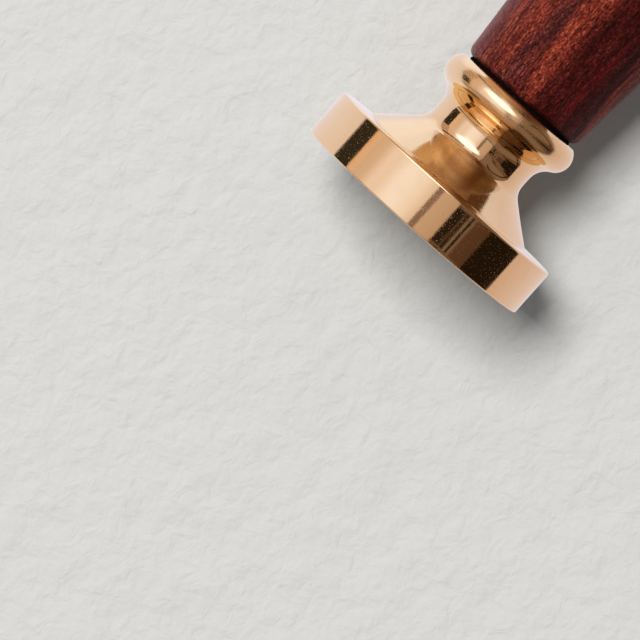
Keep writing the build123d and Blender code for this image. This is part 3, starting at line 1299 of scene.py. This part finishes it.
    def fan(self, shade: Signal) -> Signal:
        """Dark recess on the right that widens with the bearing, with a lighter wedge above and below.

        Args:
            shade: What is there before.

        Returns:
            The room with the recess.
        """
        graph, bearing, climb = self.graph, self.bearing, self.climb
        growth, taken_off, least = self.recess_growth
        away = abs(climb - self.recess_middle) / graph.math("MAXIMUM", bearing * growth - taken_off, least)
        beside = graph.window(bearing, *self.recess_sides)
        for mask, paint in (
            (graph.span(away, *self.recess_edge), self.beyond_recess),
            (graph.window(away, *self.wedge), self.wedge_colour),
            (graph.window(away, *self.recess_rim), DARK),
        ):
            shade = graph.mix(beside * mask, shade, paint)
        oval = self.oval(self.oval_middle, self.oval_reach)
        ring = graph.window(oval, *self.oval_line) * graph.span(bearing, *self.oval_side)
        return graph.mix(ring, shade, DARK)

    def slanted_line(self) -> Signal:
        """Mask of a thin dark line that climbs to the right in front."""
        away = abs(self.climb - self.slant_start - self.bearing * self.slant_rise)
        line = self.graph.span(away, *self.slant_edge, 1.0, 0.0)
        return line * self.graph.window(self.bearing, *self.slant_sides)

    def glow(self) -> Signal:
        """Mask of the soft oval light, one inside it and falling to zero around it."""
        oval = self.oval(self.light_middle, self.light_reach, self.light_squareness)
        return self.graph.span(oval, *self.light_edge, 1.0, 0.0)

    def ceiling(self) -> Signal:
        """Steep directions: warm and dim in front, going over to paper behind."""
        graph = self.graph
        share = graph.span(self.climb, *self.ceiling_bend, self.low_end_share, 1.0)
        beyond = self.y - (self.x * self.ceiling_skew + self.ceiling_end) * share
        line = graph.window(beyond, *self.ceiling_line) * graph.span(self.x, *self.ceiling_line_side)
        front, back = (graph.ramp(self.across, stops) for stops in (self.front_ceiling, self.back_ceiling))
        front = graph.mix(line, front, self.ceiling_line_colour)
        return graph.mix(graph.span(beyond, *SHARP_EDGE), front, back)

    def floor(self) -> Signal:
        """Directions well below the level."""
        front, back = (self.graph.ramp(self.across, stops) for stops in (self.front_floor, self.back_floor))
        return self.graph.mix(self.graph.span(self.y, *self.floor_end), front, back)

    def deeper(self) -> Signal:
        """Number that is one for light that the metal has mirrored more than once."""
        return self.graph.span(self.graph.given("LightPath")["Glossy Depth"], 1.4, 1.6)

    def dimmed(self) -> Signal:
        """Tint that dims the dark side of the room in images of images."""
        dim = self.graph.ramp(self.across, self.second_bounce)
        return self.graph.mix(self.graph.span(self.y, *self.dim_end), dim, WHITE)

    def colour(self) -> Signal:
        """Colour of the surroundings in every direction."""
        graph = self.graph
        shade = self.hung(self.fan(self.stripes()), self.wall_cards)
        shade = graph.mix(self.slanted_line(), shade, DARK)
        shade = self.hung(shade, [self.low_card])
        shade = graph.mix(self.glow(), shade, self.light)
        shade = self.hung(shade, self.light_frame)
        shade = graph.mix(graph.span(self.climb, *self.ceiling_start), shade, self.ceiling())
        shade = graph.mix(graph.span(self.climb, *self.floor_start, 1.0, 0.0), shade, self.floor())
        shade = self.hung(shade, self.floor_cards)
        shade = graph.mix(self.deeper(), shade, graph.tinted(shade, self.dimmed()))
        return graph.tinted(shade, self.coolness)


@dataclass(frozen=True)
class Lamp:
    """Square soft lamp, in metres, that lights a matt surface facing it by a share of plain white."""

    name: str
    towards: Place
    distance: float
    size: float
    share: float
    middle: Place = (0.0, 0.0, 0.03)

    def build(self) -> Object:
        """Hang the lamp, hidden from the camera and from mirrors."""
        data = bpy.data.lights.new(self.name, "AREA")
        data.shape, data.size = "SQUARE", self.size
        data.energy = self.share * math.pi ** 2 * self.distance ** 2
        lamp = bpy.data.objects.new(self.name, data)
        direction = Vector(self.towards).normalized()
        lamp.location = Vector(self.middle) + direction * self.distance
        lamp.rotation_mode = "QUATERNION"
        lamp.rotation_quaternion = direction.to_track_quat("Z", "Y")
        lamp.visible_camera = lamp.visible_glossy = False
        bpy.context.scene.collection.objects.link(lamp)
        return lamp


@dataclass
class Studio:
    """Backdrop, lamps, surroundings and camera of the photograph, in millimetres and degrees."""

    picture_width: float = 640.0
    axis_angle: float = 48.3
    pixels_per_mm: float = 10.936
    aim: Place = (-0.309, 0.0, -12.367)
    camera_distance: float = 400.0
    camera_height: float = 17.5
    sensor_width: float = 36.0
    backdrop_gap: float = 12.6
    backdrop_reach: float = 260.0
    paper: Colour = (0.712, 0.700, 0.672)
    paper_depth: float = 0.5
    paper_fade: Point = (0.45, 0.95)
    grazing: Point = (0.86, 0.95)
    sky_left: Colour = (0.38, 0.39, 0.40)
    sky_right: Colour = (0.07, 0.075, 0.08)
    reflector_side: float = -25.0
    reflector_depths: Point = (-11.0, -1.0)
    reflector_heights: Point = (13.4, 27.0)
    reflector_colour: Colour = (0.525, 0.337, 0.25)
    lamps: tuple[Lamp, ...] = (
        Lamp("key", (-0.32, -1.0, 0.14), 2.0, 0.68, 0.86),
        Lamp("rear_fill", (0.5, 1.0, 0.45), 1.2, 0.8, 0.45),
    )

    def camera(self) -> Object:
        """Camera that looks level along +Y past the stamp, rolled so that the handle points up and right."""
        place = Vector((0.0, -self.camera_distance, self.camera_height)) * MM
        aim = Vector(self.aim) * MM
        ahead = (aim - place).normalized()
        side = ahead.cross(Vector((0, 0, 1))).normalized()
        above = side.cross(ahead)
        angle = math.radians(self.axis_angle)
        right = above * math.cos(angle) + side * math.sin(angle)
        up = above * math.sin(angle) - side * math.cos(angle)
        data = bpy.data.cameras.new("camera")
        data.sensor_width = self.sensor_width
        seen_width = self.picture_width / self.pixels_per_mm * MM
        data.lens = self.sensor_width * (aim - place).length / seen_width
        data.clip_start, data.clip_end = 0.01, 20.0
        camera = bpy.data.objects.new("camera", data)
        turn = Matrix((right, up, -ahead)).transposed().to_4x4()
        camera.matrix_world = Matrix.Translation(place) @ turn
        bpy.context.scene.collection.objects.link(camera)
        bpy.context.scene.camera = camera
        return camera

    def backdrop(self) -> Object:
        """Sheet of textured paper just behind the stamp, which only its front shows."""
        reach = self.backdrop_reach
        corners = [(x * reach, self.backdrop_gap, z * reach) for x, z in ((-1, -1), (1, -1), (1, 1), (-1, 1))]
        return panel("paper", corners, self._paper_material())

    def reflector(self) -> Object:
        """Gold card beside the neck, which only mirrors show."""
        (near, far), (low, high) = self.reflector_depths, self.reflector_heights
        material, graph = new_material("reflector")
        glow = graph.node("Emission", {"Color": self.reflector_colour})
        mirrored = graph.given("LightPath")["Is Glossy Ray"]
        graph.part_hidden(glow, graph.math("SUBTRACT", 1.0, mirrored))
        card = panel("reflector", [(self.reflector_side, y, z)
                                   for y, z in ((near, low), (far, low), (far, high), (near, high))], material)
        card.visible_camera = card.visible_diffuse = card.visible_shadow = card.visible_transmission = False
        return card

    def _paper_material(self) -> Material:
        """Pale paper, clear from behind and far out, and to shadow and mirror rays."""
        material, graph = new_material("paper")
        place = graph.millimetres()
        fibres = (graph.noise(place, 0.22, detail=3.0)
                  + graph.noise(place, 0.55, detail=4.0, roughness=0.55, distortion=0.5) * 0.50)
        relief = graph.relief(fibres, self.paper_depth)
        diffuse = graph.node("BsdfDiffuse", {"Color": self.paper, "Normal": relief})
        path = graph.given("LightPath")
        hidden = graph.given("NewGeometry")["Backfacing"]
        fading = [share * self.backdrop_reach for share in self.paper_fade]
        for mask in (
            path["Is Shadow Ray"],
            path["Is Glossy Ray"],
            graph.span(graph.length(place), *fading),
            graph.span(graph.given("LayerWeight")["Facing"], *self.grazing),
        ):
            hidden = graph.math("MAXIMUM", hidden, mask)
        graph.part_hidden(diffuse, hidden)
        return material

    def world(self) -> None:
        """Surroundings: pale to the camera, a soft sky to matt surfaces, and a studio to mirrors."""
        world = bpy.data.worlds.new("studio")
        world.use_nodes = True
        world.cycles.sampling_method = "NONE"
        bpy.context.scene.world = world
        graph = Graph(world.node_tree)
        reflections = Reflections(graph, graph.given("TexCoord")["Generated"])
        across = graph.span(reflections.x, -1.0, 1.0, easing=Easing.STRAIGHT)
        sky = graph.mix(across, self.sky_left, self.sky_right)
        path = graph.given("LightPath")
        even = graph.mix(path["Is Camera Ray"], sky, self.paper)
        mirror = path["Is Glossy Ray"] * graph.math("LESS_THAN", path["Diffuse Depth"], 0.5)
        graph.show(graph.node("Background", {"Color": graph.mix(mirror, even, reflections.colour())}), "World")

    def build(self) -> None:
        """Set up the studio."""
        self.camera()
        self.backdrop()
        self.reflector()
        self.world()
        for lamp in self.lamps:
            lamp.build()
        bpy.context.scene.view_settings.view_transform = "Standard"


def main() -> None:
    """Build the stamp around its frame, piece by piece."""
    logging.basicConfig(level=logging.INFO, format="%(name)s: %(message)s")
    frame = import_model()
    Studio().build()
    effects = Effects()
    washer_low, washer_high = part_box("seating_washer")
    handle_low, handle_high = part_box("handle")
    for part in (
        SealHead(effects),
        SeatingWasher(washer_low.z / MM, (washer_high.z - washer_low.z) / MM),
        WoodenHandle(handle_low.z / MM, handle_high.z / MM),
        Stud(effects, frame["nodes"]["hanger_bolt"]),
    ):
        built = part.build()
        LOG.info("%s has %d faces", built.name, len(built.data.polygons))


if __name__ == "__main__":
    main()
